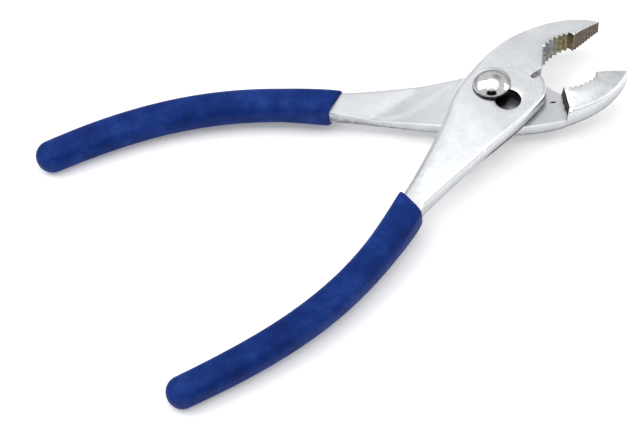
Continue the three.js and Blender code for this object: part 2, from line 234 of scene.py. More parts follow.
# The camera, fitted to the photo's outlines.
CAMERA_AT = (-184.5, -295.8, MIDDLE + 420.7)
LOOKS_AT = (-72.8, -13.7, MIDDLE)
CAMERA_ROLL = math.radians(-7.5)
CAMERA_LENS, CAMERA_SENSOR = 90.3, 36


# -------- curves in the plane


def bezier(points, t):
    """Points of a curve with three or four control points."""
    p = np.array(points, float)
    t = np.asarray(t, float)[:, None]
    if len(p) == 3:
        return (1 - t) ** 2 * p[0] + 2 * t * (1 - t) * p[1] + t**2 * p[2]
    return (
        (1 - t) ** 3 * p[0]
        + 3 * t * (1 - t) ** 2 * p[1]
        + 3 * t**2 * (1 - t) * p[2]
        + t**3 * p[3]
    )


class Path:
    """A planar curve measured by its length."""

    def __init__(self, points):
        self.points = bezier(points, np.linspace(0, 1, 801))
        steps = np.linalg.norm(np.diff(self.points, axis=0), axis=1)
        self.lengths = np.r_[0, np.cumsum(steps)]
        self.length = self.lengths[-1]

    def at(self, distance):
        """Points at distances along the path."""
        d = np.asarray(distance, float)
        return np.c_[
            np.interp(d, self.lengths, self.points[:, 0]),
            np.interp(d, self.lengths, self.points[:, 1]),
        ]

    def right(self, distance):
        """Unit vectors to the right of the path."""
        reach = 0.3
        ahead = self.at(np.clip(np.asarray(distance, float) + reach, 0, self.length))
        behind = self.at(np.clip(np.asarray(distance, float) - reach, 0, self.length))
        along = ahead - behind
        along /= np.linalg.norm(along, axis=1)[:, None]
        return np.c_[along[:, 1], -along[:, 0]]

    def even(self, spacing):
        """Evenly spaced points from end to end."""
        count = max(2, int(round(self.length / spacing)))
        return self.at(np.linspace(0, self.length, count + 1))


def polyline(line, spacing):
    """An open line with even spacing, and its corners kept."""
    line = np.asarray(line, float)
    lengths = np.r_[0, np.cumsum(np.linalg.norm(np.diff(line, axis=0), axis=1))]
    d = np.linspace(0, lengths[-1], max(2, int(lengths[-1] / spacing)) + 1)
    d = np.unique(np.r_[d, lengths])
    return np.c_[np.interp(d, lengths, line[:, 0]), np.interp(d, lengths, line[:, 1])]


def rotated(points, angle):
    c, s = math.cos(angle), math.sin(angle)
    p = np.asarray(points, float)
    return np.c_[c * p[:, 0] - s * p[:, 1], s * p[:, 0] + c * p[:, 1]]


def placed(points, half):
    """Points of a half's jaw frame in the shared frame."""
    p = np.asarray(points, float).reshape(-1, 2) * (1, half["mirror"])
    return rotated(p, half["angle"])


def unplaced(points, half):
    """Points of the shared frame in a half's jaw frame."""
    return rotated(np.asarray(points, float).reshape(-1, 2), -half["angle"]) * (1, half["mirror"])


def smooth(x):
    """A soft step from 0 to 1."""
    x = np.clip(x, 0, 1)
    return x * x * (3 - 2 * x)


def faded(x, start, end):
    """A soft step from 0 at the start to 1 at the end."""
    return smooth((x - start) / (end - start))


def distance_to(points, segments):
    """Distance of each point to the nearest segment, and that segment's number."""
    best = np.full(len(points), 1e9)
    which = np.zeros(len(points), int)
    batch = 2000
    for first in range(0, len(points), batch):
        p = points[first : first + batch, None, :]
        a, b = segments[None, :, 0, :], segments[None, :, 1, :]
        ab = b - a
        t = ((p - a) * ab).sum(-1) / np.maximum((ab * ab).sum(-1), 1e-12)
        q = a + np.clip(t, 0, 1)[..., None] * ab
        d = np.linalg.norm(p - q, axis=-1)
        which[first : first + batch] = d.argmin(1)
        best[first : first + batch] = d.min(1)
    return best, which


def segments_of(points):
    """The segments of an open line."""
    p = np.asarray(points, float)
    return np.stack([p[:-1], p[1:]], axis=1)


def side_distance(points, line):
    """Signed distance to an open line: positive to its right."""
    seg = segments_of(line)
    d, k = distance_to(points, seg)
    a, b = seg[k, 0], seg[k, 1]
    run, offset = b - a, points - a
    cross = run[:, 0] * offset[:, 1] - run[:, 1] * offset[:, 0]
    return np.where(cross < 0, d, -d)


def inside(points, loop):
    """Which points lie in a closed loop."""
    x, y = points[:, 0], points[:, 1]
    hit = np.zeros(len(points), bool)
    a = np.asarray(loop)
    b = np.roll(a, -1, axis=0)
    for (x0, y0), (x1, y1) in zip(a, b):
        if y0 == y1:
            continue
        crosses = (y0 > y) != (y1 > y)
        hit ^= crosses & (x < (x1 - x0) * (y - y0) / (y1 - y0) + x0)
    return hit


def offset_line(line, distance):
    """An open line moved to its right."""
    d = np.gradient(line, axis=0)
    d /= np.linalg.norm(d, axis=1)[:, None]
    return line + distance * np.c_[d[:, 1], -d[:, 0]]


def loop_normals(loop):
    """Unit vectors to the left of a closed loop."""
    along = np.roll(loop, -1, axis=0) - np.roll(loop, 1, axis=0)
    along /= np.linalg.norm(along, axis=1)[:, None]
    return np.c_[-along[:, 1], along[:, 0]]


# -------- outlines of the halves


def toothed(path, count, depth):
    """Teeth with tips on the path and roots to its left, with narrow flats at both."""
    points = []
    pitch = path.length / count
    for i in range(count):
        for share, drop in ((0, 0), (TOOTH_FLAT, 0), (0.5, 1), (0.5 + TOOTH_FLAT, 1)):
            d = (i + share) * pitch
            points.append(path.at([d])[0] - path.right([d])[0] * drop * depth)
    points.append(path.at([path.length])[0])
    return np.array(points)


def tang_root(half, side):
    """Where one side of the tang starts: side 1 is the back and side -1 the front."""
    handle = Path(half["handle"])
    return handle.at([0])[0] + side * TANG_ROOT * handle.right([0])[0]


def tang_side(half, side):
    """One side of the tang, beyond its root."""
    handle = Path(half["handle"])
    share = np.linspace(0, 1, 80)[1:]
    width = TANG_ROOT + (TANG_END - TANG_ROOT) * share
    d = share * TANG_STOP * handle.length
    return handle.at(d) + side * width[:, None] * handle.right(d)


def half_outline(half):
    """The outline as points in the jaw frame, each with the kind of edge that starts there."""
    points, kinds = [], []

    def add(run, kind):
        run = run[:-1]
        points.extend(run)
        kinds.extend([kind] * len(run))

    tip, nose_start = (half["tip"], 0), (half["nose_start"], 0)
    nose = Path([nose_start, (half["tip"] / 2 + half["nose_start"] / 2, 0), tip])
    add(toothed(nose, *NOSE_TEETH), "tooth")
    add(np.array([tip, half["jaw_back"][0]]), "tip")
    add(Path(half["jaw_back"]).even(OUTLINE_STEP), "jaw")
    add(Path(half["shoulder_back"]).even(OUTLINE_STEP), "back")
    add(Path([*half["neck_back"], tang_root(half, 1)]).even(OUTLINE_STEP), "back")
    back = np.vstack([[tang_root(half, 1)], tang_side(half, 1)])
    front = np.vstack([tang_side(half, -1)[::-1], [tang_root(half, -1)]])
    add(np.vstack([back, front[:1]]), "soft")
    add(front, "soft")
    add(Path([tang_root(half, -1), *half["neck_front"]]).even(OUTLINE_STEP), "soft")
    add(Path(half["lap_front"]).even(OUTLINE_STEP), "soft")
    add(Path(half["throat"]).even(THROAT_STEP), "throat")
    add(toothed(Path(half["pipe"]), *PIPE_TEETH), "tooth")
    add(np.array([half["pipe"][2], nose_start], float), "tooth")
    return np.array(points), kinds


def with_notch(points, kinds, half):
    """The outline with the wire cutter's notch let into it."""
    along = np.array([math.cos(NOTCH_ANGLE), math.sin(NOTCH_ANGLE)])
    across = np.array([-along[1], along[0]])
    from_end = placed(points, half) - NOTCH_END
    u, v = from_end @ along, from_end @ across
    cut = (u > 0) & (u < NOTCH_REACH) & (np.abs(v) < NOTCH_HALF_WIDTH)
    count = len(points)
    # The run of cut points, walked along the outline.
    first = next(i for i in np.flatnonzero(cut) if not cut[i - 1])
    last = first
    while cut[(last + 1) % count]:
        last += 1
    last %= count
    before, after = (first - 1) % count, (last + 1) % count

    def crossing(i, j, side):
        """Where the outline from point i to point j meets one wall of the notch."""
        bound = side * NOTCH_HALF_WIDTH
        t = (bound - v[i]) / (v[j] - v[i])
        return u[i] + t * (u[j] - u[i]), bound

    enter = crossing(before, first, np.sign(v[before]))
    leave = crossing(last, after, np.sign(v[after]))
    run = [enter]
    run += [(depth, enter[1]) for depth in np.linspace(enter[0], 0, 6)[1:-1]]
    for a in np.linspace(0, math.pi, 13):
        run.append((-math.sin(a) * NOTCH_HALF_WIDTH, math.cos(a) * enter[1]))
    run += [(depth, leave[1]) for depth in np.linspace(0, leave[0], 6)[1:]]
    run = np.array(run)
    local = unplaced(np.array(NOTCH_END) + run[:, :1] * along + run[:, 1:] * across, half)
    order = [(after + i) % count for i in range((before - after) % count + 1)]
    new_points = np.vstack([points[order], local])
    new_kinds = [kinds[i] for i in order] + ["notch"] * len(local)
    new_kinds[len(order) - 1] = kinds[before]
    new_kinds[-1] = kinds[last]
    return new_points, new_kinds


def keyhole(half):
    """Outline of the slot: two holes joined by a waist, in the jaw frame."""
    opening = math.asin(SLOT_WAIST / 2 / SLOT_HOLE_RADIUS)
    step = math.radians(5)
    second = SLIP_STEP * np.array([math.cos(SLIP_ANGLE), math.sin(SLIP_ANGLE)])
    reach = math.pi - opening
    count = int(2 * reach / step)
    points = []
    for centre, middle in ((np.zeros(2), SLIP_ANGLE + math.pi), (second, SLIP_ANGLE)):
        for i in range(count + 1):
            a = middle - reach + 2 * reach * i / count
            points.append(centre + SLOT_HOLE_RADIUS * np.array([math.cos(a), math.sin(a)]))
    return unplaced(points, half)


def pivot_hole(half):
    """Outline of the round hole, in the jaw frame."""
    a = np.linspace(0, 2 * math.pi, 73)[:-1]
    return unplaced(PIVOT_HOLE_RADIUS * np.c_[np.cos(a), np.sin(a)], half)


def neck_limit(other, slip):
    """Where the other half's back edge comes to on the neck, with the jaws shut and slipped."""
    edge = Path([*other["neck_back"], tang_root(other, 1)]).even(NECK_LIMIT_STEP)[::-1]
    edge = edge * (1, -1) + slip + (-RECESS_CLEARANCE / 2, -RECESS_CLEARANCE)
    beyond = 40
    start = edge[0] + (edge[0] - edge[1]) / np.linalg.norm(edge[0] - edge[1]) * beyond
    end = edge[-1] + (edge[-1] - edge[-2]) / np.linalg.norm(edge[-1] - edge[-2]) * beyond
    return np.vstack([start, edge, end])


# -------- heights of the faces


def profile(stations, x):
    """Half thickness at x, with the corners between stations smoothed."""
    xs, hs = zip(*stations)
    spread = np.linspace(-PROFILE_BLEND, PROFILE_BLEND, 7)
    return sum(np.interp(x + s, xs, hs) for s in spread) / len(spread)


def rounding(distance, radius):
    """How far a rounded edge lies below its face, at a distance from the edge."""
    inward = np.clip(1 - distance / radius, 0, 1)
    return radius * (1 - np.sqrt(1 - inward**2))


def soft_minimum(a, b):
    """The smaller of two heights, with the corner between them rounded off."""
    sharpness = 4
    return -np.log(np.exp(-sharpness * a) + np.exp(-sharpness * b)) / sharpness


# -------- meshes


def new_object(name, verts, faces, materials, face_materials=None, sharp=35, marks=None):
    """A mesh object. Marks are named numbers per vertex that the materials read."""
    mesh = bpy.data.meshes.new(name)
    mesh.from_pydata([tuple(float(c) * MM for c in v) for v in verts], [], faces)
    obj = bpy.data.objects.new(name, mesh)
    bpy.context.scene.collection.objects.link(obj)
    for m in materials:
        mesh.materials.append(m)
    if face_materials is not None:
        mesh.polygons.foreach_set("material_index", np.array(face_materials, np.int32))
    for mark, values in (marks or {}).items():
        attribute = mesh.attributes.new(mark, "FLOAT", "POINT")
        attribute.data.foreach_set("value", np.asarray(values, np.float32))
    bm = bmesh.new()
    bm.from_mesh(mesh)
    bmesh.ops.recalc_face_normals(bm, faces=bm.faces)
    bm.to_mesh(mesh)
    bm.free()
    mesh.polygons.foreach_set("use_smooth", np.ones(len(mesh.polygons), bool))
    mesh.set_sharp_from_angle(angle=math.radians(sharp))
    mesh.update()
    return obj


def band_between(start, end, count):
    """Quads between two rings of points, given the numbers of their first points."""
    following = [(i + 1) % count for i in range(count)]
    return [(start + i, start + j, end + j, end + i) for i, j in enumerate(following)]


class Blank:
    """A half's plan in its jaw frame, and the bands in which its inner face changes height."""

    def __init__(self, half, other, hole, slip):
        self.half = half
        self.outline, kinds = with_notch(*half_outline(half), half)
        self.kinds = np.array(kinds)
        self.hole = hole
        self.edges = segments_of(np.vstack([self.outline, self.outline[:1]]))
        self.hole_edges = segments_of(np.vstack([hole, hole[:1]]))
        self.shoulder = polyline(SHOULDER, LINE_STEP)
        self.limit = polyline(neck_limit(other, slip), LINE_STEP)
        self.crease = Path(CREASE).even(LINE_STEP)
        self.bands = [(self.shoulder, SHOULDER_STEPS), (self.limit, RECESS_STEPS)]
        if half is HALVES["plain"]:
            self.bands.append((self.crease, CREASE_STEPS))

    def from_edge(self, points, *kinds):
        """Distance of each point to the outline, or only to its edges of some kinds."""
        edges = self.edges[np.isin(self.kinds, kinds)] if kinds else self.edges
        return distance_to(points, edges)[0]

    def from_hole(self, points):
        """Distance of each point to the hole's outline."""
        return distance_to(points, self.hole_edges)[0]

    def edge_ring(self, distance):
        """Points at a distance inside the outline. Edges that stay crisp need no closer ones."""
        ring = self.outline + loop_normals(self.outline) * distance
        if distance < CRISP_EDGE:
            ring = ring[np.isin(self.kinds, ("soft", "jaw", "back"))]
        clear = self.from_edge(ring) > EDGE_RING_SHARE * distance
        return ring[clear & inside(ring, self.outline)]

    def hole_ring(self, distance):
        """Points at a distance round the hole."""
        centre = self.hole.mean(0)
        outward = loop_normals(self.hole)
        one_way = ((self.hole + outward - centre) ** 2).sum()
        other_way = ((self.hole - outward - centre) ** 2).sum()
        if one_way < other_way:
            outward = -outward
        ring = self.hole + outward * distance
        return ring[self.from_hole(ring) > HOLE_RING_SHARE * distance]

    def off_bands(self, points, margin):
        """Points that keep clear of the bands."""
        keep = np.ones(len(points), bool)
        for line, steps in self.bands:
            d = side_distance(points, line)
            keep &= (d < steps[0] - margin) | (d > steps[-1] + margin)
        return points[keep]

    def band_lines(self):
        """The lines that bound each band, cut off just past the outline."""
        for line, steps in self.bands:
            for d in steps:
                run = offset_line(line, d)
                keep = inside(run, self.outline) | (self.from_edge(run) < 2 * LINE_STEP)
                index = np.flatnonzero(keep)
                if len(index) > 1:
                    yield run[index[0] : index[-1] + 1]

    def ring_points(self):
        """Points for the rounded edges and the dark spot."""
        rings = [self.edge_ring(d) for d in EDGE_RINGS] + [self.hole_ring(d) for d in HOLE_RINGS]
        if self.half is HALVES["plain"]:
            turn = np.linspace(0, 2 * math.pi, 17)[:-1]
            oval = np.c_[np.cos(turn), np.sin(turn)] * DARK_SPOT_SIZE
            rings += [[DARK_SPOT], DARK_SPOT + oval, DARK_SPOT + 2 * oval]
        close_rings = [self.edge_ring(d) for d in CLOSE_RINGS]
        return np.vstack([self.off_bands(np.vstack(rings), RINGS_FROM_BAND), *close_rings])

    def grid_points(self):
        """Staggered rows of points over the rest of the plan."""
        low, high = self.outline.min(0) - 1, self.outline.max(0) + 1
        x, y = np.meshgrid(
            np.arange(low[0], high[0], GRID_STEP), np.arange(low[1], high[1], GRID_STEP)
        )
        x = x + (np.arange(len(y)) % 2)[:, None] * GRID_STEP / 2
        grid = np.c_[x.ravel(), y.ravel()]
        grid = grid[inside(grid, self.outline)]
        grid = grid[self.from_edge(grid) > GRID_FROM_EDGE]
        return self.off_bands(grid[self.from_hole(grid) > GRID_FROM_HOLE], GRID_FROM_BAND)

    def triangulated(self):
        """Points and triangles of the plan."""
        points, constraints = [self.outline, self.hole], []
        start = 0
        for loop in points:
            count = len(loop)
            constraints += [(start + i, start + (i + 1) % count) for i in range(count)]
            start += count
        for run in self.band_lines():
            points.append(run)
            constraints += [(start + i, start + i + 1) for i in range(len(run) - 1)]
            start += len(run)
        points += [self.ring_points(), self.grid_points()]
        result = delaunay_2d_cdt([Vector(p) for p in np.vstack(points)], constraints, [], 0, 1e-5)
        verts = np.array([tuple(v) for v in result[0]])
        tris = np.array([f for f in result[2] if len(f) == 3])
        middle = verts[tris].mean(1)
        tris = tris[inside(middle, self.outline) & ~inside(middle, self.hole)]
        used, renumbered = np.unique(tris, return_inverse=True)
        return verts[used], renumbered.reshape(-1, 3)


def face_heights(blank, verts):
    """Heights of the outer and the inner face, away from the joint's middle plane."""
    half = blank.half
    x = verts[:, 0]
    from_edge = blank.from_edge(verts)
    from_soft = blank.from_edge(verts, "soft", "jaw")
    from_back = blank.from_edge(verts, "back")
    from_hole = blank.from_hole(verts)
    crisp = rounding(from_edge, CRISP_EDGE)

    crown = half["crown"] * faded(x, *CROWN_START)
    crown *= 1 - smooth(blank.from_edge(verts, "jaw") / CROWN_WIDTH)
    at_neck = 1 - faded(x, *BACK_FADE)
    back_edge = SOFT_EDGE + (BACK_EDGE - SOFT_EDGE) * at_neck
    edge_drop = np.maximum(rounding(from_soft, SOFT_EDGE), crisp)
    edge_drop = np.maximum(edge_drop, rounding(from_back, back_edge))
    outer = profile(OUTER_PROFILE, x) - edge_drop - crown
    outer -= half["hole_chamfer"] * np.clip(1 - from_hole / HOLE_CHAMFER_WIDTH, 0, 1) ** 1.5
    outer -= rounding(from_hole, HOLE_EDGE)
    outer -= half["back_bevel"] * at_neck * np.clip(1 - from_back / BACK_BEVEL_WIDTH, 0, 1)

    past_shoulder = side_distance(verts, blank.shoulder)
    past_limit = side_distance(verts, blank.limit)
    lap = -LAP_GAP_HALF - (crisp + rounding(from_hole, HOLE_EDGE))
    full = profile(INNER_PROFILE, x) - edge_drop - crown
    raised = np.interp(past_shoulder, SHOULDER_STEPS, (0, SHOULDER_WALL_SHARE, 1))
    inner = lap + (np.maximum(full, lap) - lap) * raised
    rise = -LAP_GAP_HALF + NECK_RISE * np.clip(past_limit, 0, None)
    neck = soft_minimum(profile(INNER_PROFILE, x), rise)
    neck -= np.maximum(rounding(from_soft, NECK_EDGE), crisp)
    inner = np.where((past_limit > 0) & (x < 0), np.maximum(inner, neck), inner)
    if half is HALVES["plain"]:
        past_crease = side_distance(verts, blank.crease)
        ground = (1 - faded(past_crease, *CREASE_STEPS)) * (1 - faded(-past_crease, *CREASE_FADE))
        inner -= CREASE_DEPTH * ground * faded(x, *CREASE_START) * (1 - faded(x, *CREASE_STOP))
    return outer, inner


def oil_and_painted_shade(blank, verts):
    """Marks on the outer and the inner face, where 1 is black: an oily lap that is also painted
    shade, painted shade on the neck, in the corner and on the rims, and a dark spot.
    """
    x = verts[:, 0]
    on_rim = blank.from_edge(verts) < ON_LINE
    if blank.half is HALVES["slotted"]:
        # The slotted half's rims carry painted shade only, and the lower one stands for the shade of
        # the gap over the lap.
        off_lap, on_lap = SLOTTED_LOWER_SHADE
        lower = off_lap + (on_lap - off_lap) * faded(x, *LAP_START) * (x < LAP_END)
        return on_rim * WALL_SHADE, on_rim * lower
    from_pivot = np.linalg.norm(verts, axis=1)
    # Oil round the pivot, which is also painted shade for the lap under the slotted half.
    jaw_side = np.interp(from_pivot, (OIL_AND_SHADE_FULL, OIL_AND_SHADE_FADED), (1, OIL_AND_SHADE_ON_JAW_SIDE))
    neck_side = np.interp(from_pivot, (OIL_AND_SHADE_FULL, OIL_AND_SHADE_FADED, OIL_AND_SHADE_END), (1, *OIL_AND_SHADE_ON_NECK_SIDE))
    oil_and_shade = np.where(x < JAW_SIDE_START, neck_side, jaw_side)
    # The plain half's neck is painted darker, as shade.
    oil_and_shade = np.where(x < NECK_END, np.interp(x, NECK_STATIONS, NECK_PAINTED_SHADE), oil_and_shade)
    past_shoulder = side_distance(verts, blank.shoulder)
    # Painted shade in the corner at the shoulder's foot.
    corner = np.clip(1 - np.abs(past_shoulder) / CORNER_SHADE_WIDTH, 0, 1) * ~on_rim
    dark_spot = np.clip(2 - np.linalg.norm((verts - DARK_SPOT) / DARK_SPOT_SIZE, axis=1), 0, 1)
    inner = np.maximum(oil_and_shade, corner) * (past_shoulder < SHOULDER_WALL)
    inner = np.maximum(np.maximum(inner, dark_spot), on_rim * WALL_SHADE)
    return on_rim * PLAIN_LOWER_SHADE, inner


def open_edges(tris):
    """The triangles' edges that no other triangle shares."""
    edges = [edge for a, b, c in tris.tolist() for edge in ((a, b), (b, c), (c, a))]
    known = set(edges)
    return [(a, b) for a, b in edges if (b, a) not in known]


def forging(name, blank, materials):
    """One half: its plan, triangulated, with an outer and an inner face and walls between them."""
    half = blank.half
    verts, tris = blank.triangulated()
    outer, inner = face_heights(blank, verts)
    flip = half["mirror"]
    plan = placed(verts, half)
    solid = np.vstack([np.c_[plan, MIDDLE + flip * outer], np.c_[plan, MIDDLE - flip * inner]])
    along_jaw = np.clip((verts[:, 0] - TEETH_START) / TEETH_LENGTH, 0, 1)
    marks = {"oil_and_painted_shade": np.concatenate(oil_and_painted_shade(blank, verts)), "along_jaw": np.tile(along_jaw, 2)}

    # The shoulder's wall is painted in shade. It is a part of the inner face.
    count = len(verts)
    faces = [tuple(t) for t in tris] + [tuple(t[::-1] + count) for t in tris]
    past_shoulder = side_distance(verts[tris].mean(1), blank.shoulder)
    wall = (past_shoulder > WALL_MARGIN) & (past_shoulder < SHOULDER_WALL - WALL_MARGIN)
    slots = [STEEL_SLOT] * len(tris) + [PAINTED_SHADE_SLOT if w else STEEL_SLOT for w in wall]
    # The side walls. Those of the hole are painted in shade too.
    for a, b in open_edges(tris):
        faces.append((b, a, a + count, b + count))
        distance, nearest = distance_to((verts[a] + verts[b])[None] / 2, blank.edges)
        outline_slot = WALL_SLOTS.get(blank.kinds[nearest[0]], STEEL_SLOT)
        slots.append(outline_slot if distance[0] < ON_LINE else PAINTED_SHADE_SLOT)
    return new_object(name, solid, faces, materials, slots, marks=marks)


def lathe(name, rows, materials, shaded_rows):
    """A turned piece: rows of (radius, z), where radius 0 closes an end."""
    sides = 128
    verts, faces, loops, slots = [], [], [], []
    for r, z in rows:
        if r == 0:
            loops.append([len(verts)])
            verts.append((0, 0, z))
            continue
        loops.append(list(range(len(verts), len(verts) + sides)))
        for i in range(sides):
            a = 2 * math.pi * i / sides
            verts.append((r * math.cos(a), r * math.sin(a), z))
    for row, (low, high) in enumerate(zip(loops, loops[1:])):
        slots += [BOLT_PAINTED_SHADE_SLOT if row in shaded_rows else STEEL_SLOT] * sides
        for i in range(sides):
            j = (i + 1) % sides
            if len(low) == 1:
                faces.append((low[0], high[i], high[j]))
            elif len(high) == 1:
                faces.append((low[i], low[j], high[0]))
            else:
                faces.append((low[i], low[j], high[j], high[i]))
    return new_object(name, verts, faces, materials, slots)


def bolt(materials):
    """Domed bolt. Its head has a short side, painted in shade like its underside, and a dome."""
    narrower, higher = THREAD_CHAMFER
    shank = [(0, 0.0), (THREAD_RADIUS - narrower, 0.0), (THREAD_RADIUS, higher)]
    shank += [(THREAD_RADIUS, THREAD_TOP), (SHANK_RADIUS - SHANK_CHAMFER, THREAD_TOP)]
    shank += [(SHANK_RADIUS, THREAD_TOP + SHANK_CHAMFER), (SHANK_RADIUS, SHANK_TOP)]
    shank.append((SLOT_PART_RADIUS, SHANK_TOP))
    rim = HEAD_BOTTOM + HEAD_RIM
    side_top, dome_edge = rim - 0.35, (HEAD_RADIUS - 0.08, rim - 0.05)
    narrower, higher = HEAD_CHAMFER
    side = [(SLOT_PART_RADIUS, HEAD_BOTTOM), (HEAD_RADIUS - narrower, HEAD_BOTTOM)]
    side += [(HEAD_RADIUS, HEAD_BOTTOM + higher), (HEAD_RADIUS, side_top)]
    ball = (HEAD_RADIUS**2 + HEAD_DOME**2) / (2 * HEAD_DOME)
    steps = 24
    dome = [dome_edge]
    for i in range(1, steps):
        a = math.asin(HEAD_RADIUS / ball) * (1 - i / steps)
        dome.append((ball * math.sin(a), rim + HEAD_DOME - ball * (1 - math.cos(a))))
    dome.append((0, rim + HEAD_DOME))
    shaded_rows = range(len(shank), len(shank) + len(side) - 1)
    return lathe("pivot_bolt_domed", shank + side + dome, materials, shaded_rows)


def nut(materials):
    """Hex nut with its corners turned off on both faces."""
    sides = 96
    verts, faces = [], []

    def hexagon(a):
        sector = math.pi / 3
        return NUT_HALF_FLATS / math.cos((a + math.pi / 6) % sector - sector / 2)

    def turned_off(a):
        return NUT_SLOPE_START + max(0.0, hexagon(a) - NUT_TURNED_RADIUS) * NUT_SLOPE

    # Rings from the bore to the flats: radius, and depth below the nut's face.
    rings = [
        (lambda a: NUT_BORE, lambda a: NUT_LIP),
        (lambda a: NUT_BORE + NUT_LIP, lambda a: 0),
        (lambda a: NUT_FACE_RADIUS, lambda a: 0),
        (hexagon, turned_off),
    ]
    bottom = [(radius, depth, NUT_BOTTOM, 1) for radius, depth in rings]
    top = [(radius, depth, NUT_TOP, -1) for radius, depth in reversed(rings)]
    for radius, depth, level, inward in bottom + top:
        for i in range(sides):
            a = 2 * math.pi * i / sides
            r = radius(a)
            verts.append((r * math.cos(a), r * math.sin(a), level + inward * depth(a)))
    count = len(bottom + top)
    for ring in range(count):
        faces += band_between(ring * sides, (ring + 1) % count * sides, sides)
    return new_object("pivot_nut_hex", verts, faces, materials, sharp=25)


def grip(name, half, materials):
    """Dipped sleeve: an oval tube along the handle with a round end and an open, slanted mouth."""
    path = Path(half["handle"])
    mouth = half["mouth"]
    skew = -math.tan(half["skew"])
    shares, half_widths = zip(*half["grip_width"])
    sides = 56
    turn = np.linspace(0, 2 * math.pi, sides, endpoint=False)
    rings = []

    def section(d, width, height, lean):
        """One ring round the path at a distance, leaning by the mouth's skew."""
        squareness = np.interp(d - mouth, (0, GRIP_FADE), (MOUTH_SQUARENESS, GRIP_SQUARENESS))
        power = 2 / squareness
        across, up = np.cos(turn), np.sin(turn)
        lateral = width * np.sign(across) * np.abs(across) ** power
        where = d + lean * lateral
        on_path = np.clip(where, 0, path.length)
        side = path.right(np.clip(where, 0.4, path.length - 0.4))
        along = np.c_[-side[:, 1], side[:, 0]]
        plan = path.at(on_path) + side * lateral[:, None] + along * (where - on_path)[:, None]
        z = MIDDLE + height * np.sign(up) * np.abs(up) ** power
        rings.append(np.c_[placed(plan, half), z])

    # The bore, from deep in the sleeve to the mouth, then over the lip.
    for d, wider in ((BORE_DEPTH, 0), (mouth + 0.5, 0), (mouth + 0.15, BORE_FLARE)):
        section(d, TANG_ROOT + BORE_CLEARANCE + wider, TANG_HALF + BORE_CLEARANCE + wider, skew)
    for ahead, narrower, lower in LIP_RINGS:
        section(mouth + ahead, half_widths[0] - narrower, GRIP_HALF_HEIGHT - lower, skew)
    end_width = half_widths[-1]
    end_height = GRIP_HALF_HEIGHT * (1 - GRIP_END_THINNING)
    body = path.length - end_width
    near = np.linspace(mouth + 0.9, GRIP_FADE, 12)
    for d in np.r_[near, np.linspace(GRIP_FADE + 1.3, body, 80)]:
        share = (d - mouth) / (body - mouth)
        lean = skew * (1 - smooth((d - mouth) / GRIP_FADE))
        around = share + np.linspace(-GRIP_WIDTH_BLEND, GRIP_WIDTH_BLEND, 5)
        width = np.mean(np.interp(around, shares, half_widths))
        height = GRIP_HALF_HEIGHT * (1 - GRIP_END_THINNING * faded(share, GRIP_THINNING_START, 1))
        swell = 1 - MOUTH_SWELL * max(0, 1 - (d - mouth) / MOUTH_SWELL_LENGTH)
        section(d, width * swell, height * swell, lean)
    for t in np.linspace(0, math.pi / 2, 13)[1:-1]:
        flat_end = end_height * math.cos(t) ** 0.9
        section(body + end_width * math.sin(t), end_width * math.cos(t), flat_end, 0)

    faces = []
    for k in range(len(rings) - 1):
        faces += band_between(k * sides, (k + 1) * sides, sides)
    last_ring, count = (len(rings) - 1) * sides, len(rings) * sides
    tip, bore_end = placed(path.at([path.length, BORE_DEPTH]), half)
    faces += [(last_ring + i, last_ring + (i + 1) % sides, count) for i in range(sides)]
    faces += [((i + 1) % sides, i, count + 1) for i in range(sides)]
    verts = np.vstack([*rings, [*tip, MIDDLE], [*bore_end, MIDDLE]])
    return new_object(name, verts, faces, materials, sharp=50)


# -------- materials


def nodes_of(name):
    """A new material, its node tree and its shader."""
    m = bpy.data.materials.new(name)
    m.use_nodes = True
    tree = m.node_tree
    return m, tree, tree.nodes["Principled BSDF"]


def link(tree, source, target):
    tree.links.new(source, target)


def noise(tree, scale, detail, rough):
    """Noise that is fixed to the piece."""
    coords = tree.nodes.new("ShaderNodeTexCoord")
    n = tree.nodes.new("ShaderNodeTexNoise")
    n.inputs["Scale"].default_value = scale
    n.inputs["Detail"].default_value = detail
    n.inputs["Roughness"].default_value = rough
    link(tree, coords.outputs["Object"], n.inputs["Vector"])
    return n.outputs["Fac"]


def as_colour(shade):
    """A colour, or a brightness as a grey."""
    return shade if isinstance(shade, tuple) else (shade, shade, shade)


def ramp(tree, value, stops):
    """A colour for a value. A stop is a position with a colour or a brightness."""
    r = tree.nodes.new("ShaderNodeValToRGB")
    while len(r.color_ramp.elements) < len(stops):
        r.color_ramp.elements.new(0.5)
    for element, (position, shade) in zip(r.color_ramp.elements, stops):
        element.position = position
        element.color = (*as_colour(shade), 1)
    link(tree, value, r.inputs["Fac"])
    return r.outputs["Color"]


def mottled(tree, scale, detail, rough, stops):
    """A colour that wanders between stops."""
    return ramp(tree, noise(tree, scale, detail, rough), stops)


def bump(tree, principled, heights):
    """Chained bumps from (height, strength, distance)."""
    previous = None
    for height, strength, distance in heights:
        b = tree.nodes.new("ShaderNodeBump")
        b.inputs["Strength"].default_value = strength
        b.inputs["Distance"].default_value = distance
        link(tree, height, b.inputs["Height"])
        if previous is not None:
            link(tree, previous, b.inputs["Normal"])
        previous = b.outputs["Normal"]
    link(tree, previous, principled.inputs["Normal"])


def attribute(tree, name):
    """A number that the vertices carry."""
    node = tree.nodes.new("ShaderNodeAttribute")
    node.attribute_name = name
    return node.outputs["Fac"]


def mixed(tree, factor, a, b):
    """Colour a where the factor is 0, and the fixed colour or brightness b where it is 1."""
    node = tree.nodes.new("ShaderNodeMix")
    node.data_type = "RGBA"
    link(tree, factor, node.inputs["Factor"])
    link(tree, a, node.inputs[6])
    node.inputs[7].default_value = (*as_colour(b), 1)
    return node.outputs[2]


